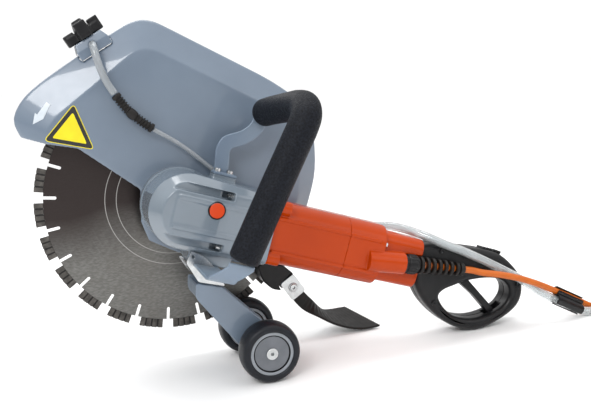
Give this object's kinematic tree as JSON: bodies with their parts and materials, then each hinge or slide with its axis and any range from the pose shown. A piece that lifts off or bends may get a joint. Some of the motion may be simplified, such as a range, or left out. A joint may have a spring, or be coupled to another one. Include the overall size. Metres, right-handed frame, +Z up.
{
  "type": "electric cut-off saw",
  "caption": "Hand-held electric wet cut-off saw with a segmented blade, tilting guard, water feed, bail handle, D-handle with trigger and two guide wheels.",
  "frame": {"origin": "centre of the footprint box of the tool (without its cable and hose) at floor level, as it stands on its wheels and rear handle", "axes": "+X back towards the rear handle, +Y towards the blade side along the blade spindle, +Z up"},
  "size_m": [0.9379, 0.434, 0.4559],
  "materials": {
    "guard_paint": "satin powder coat",
    "cast_paint": "semi-gloss enamel",
    "orange_casing": "gloss moulded",
    "black_plastic": "matt moulded",
    "grip_foam": "matt foam",
    "black_rubber": "matt",
    "tyre": "soft sheen",
    "rim": "moulded",
    "zinc": "zinc plated",
    "machined_steel": "machined",
    "blade_steel": "ground, dark",
    "segment": "sintered",
    "copper": "enamelled wire",
    "laminations": "stacked sheet",
    "carbon": "graphite",
    "cable_orange": "satin sheath",
    "clear_hose": "clear PVC",
    "button_orange": "gloss moulded",
    "alu": "machined"
  },
  "bodies": {
    "machine": {"gearbox_housing": "cast_paint", "gearbox_cover": "alu", "casing_screws": "zinc", "motor_housing": "orange_casing", "rear_housing": "orange_casing", "stator_core": "laminations", "field_windings": "copper", "brush_holders": "black_plastic", "carbon_brushes": "carbon", "ball_bearings": "machined_steel", "handle_shell_near": "black_plastic", "handle_shell_far": "black_plastic", "switch_module": "black_plastic", "cable_gland": "black_plastic", "strain_relief": "black_rubber", "bail_plate": "guard_paint", "bail_tube": "machined_steel", "bail_strap": "guard_paint", "foam_grip": "grip_foam", "bail_bolts": "zinc", "wheel_bracket": "zinc", "wheel_arm": "guard_paint", "wheel_axle": "zinc", "guard_tube": "clear_hose", "mains_cable": "cable_orange", "cable_coil": "cable_orange", "mains_plug": "black_plastic", "water_inlet": "black_plastic", "supply_hose": "clear_hose", "hose_coil": "clear_hose", "hose_coupling": "black_plastic", "cord_clip": "black_plastic"},
    "rotor": {"armature_shaft": "machined_steel", "armature_core": "laminations", "commutator": "copper", "cooling_fan": "black_plastic", "pinion": "machined_steel"},
    "blade_assembly": {"spindle": "machined_steel", "crown_gear": "machined_steel", "inner_flange": "machined_steel", "blade_core": "blade_steel", "blade_segments": "segment", "outer_flange": "machined_steel", "clamp_bolt": "zinc"},
    "guard": {"guard_shell": "guard_paint", "guard_clamp_ring": "machined_steel", "nozzle_block": "guard_paint", "guard_hose": "clear_hose", "hose_coupler": "black_rubber", "flap_holder": "black_plastic", "flap": "black_rubber", "flap_clamp": "zinc"},
    "water_knob": {"nozzle_knob": "black_plastic"},
    "near_wheel": {"near_tyre": "tyre", "near_rim": "rim"},
    "far_wheel": {"far_tyre": "tyre", "far_rim": "rim"},
    "trigger": {"trigger_lever": "black_plastic"},
    "lock_off": {"lock_off_button": "black_plastic"},
    "spindle_lock": {"spindle_lock_button": "button_orange"}
  },
  "joints": [
    {"name": "blade_spin", "type": "hinge", "parent": "machine", "child": "blade_assembly", "pos_m": [-0.14155, 0.10487, 0.2165], "axis": [0, 1, 0], "continuous": true},
    {"name": "rotor_spin", "type": "hinge", "parent": "machine", "child": "rotor", "pos_m": [-0.14155, 0.01888, 0.2165], "axis": [0.9449, 0, -0.3272], "continuous": true},
    {"name": "guard_tilt", "type": "hinge", "parent": "machine", "child": "guard", "pos_m": [-0.14155, 0.10487, 0.2165], "axis": [0, 1, 0], "range_deg": [-27, 0]},
    {"name": "water_knob_turn", "type": "hinge", "parent": "guard", "child": "water_knob", "pos_m": [-0.22269, 0.10287, 0.41921], "axis": [-0.4833, 0, 0.8755], "range_deg": [0, 90]},
    {"name": "near_wheel_spin", "type": "hinge", "parent": "machine", "child": "near_wheel", "pos_m": [-0.06055, -0.03612, 0.0375], "axis": [0, 1, 0], "continuous": true},
    {"name": "far_wheel_spin", "type": "hinge", "parent": "machine", "child": "far_wheel", "pos_m": [-0.06055, 0.07787, 0.0375], "axis": [0, 1, 0], "continuous": true},
    {"name": "trigger_squeeze", "type": "hinge", "parent": "machine", "child": "trigger", "pos_m": [0.28245, 0.01888, 0.0135], "axis": [0, 1, 0], "range_deg": [0, 7], "stiffness_Nm_per_rad": 1, "springref_deg": -17.19},
    {"name": "lock_off_press", "type": "slide", "parent": "machine", "child": "lock_off", "axis": [-0.4695, 0, -0.8829], "range_m": [0, 0.003], "stiffness_N_per_m": 400, "springref_m": -0.004},
    {"name": "spindle_lock_press", "type": "slide", "parent": "machine", "child": "spindle_lock", "axis": [0, 1, 0], "range_m": [0, 0.003], "stiffness_N_per_m": 500, "springref_m": -0.004}
  ],
  "couplings": [
    {"joint": "rotor_spin", "follows": "blade_spin", "ratio": -4.5556}
  ]
}
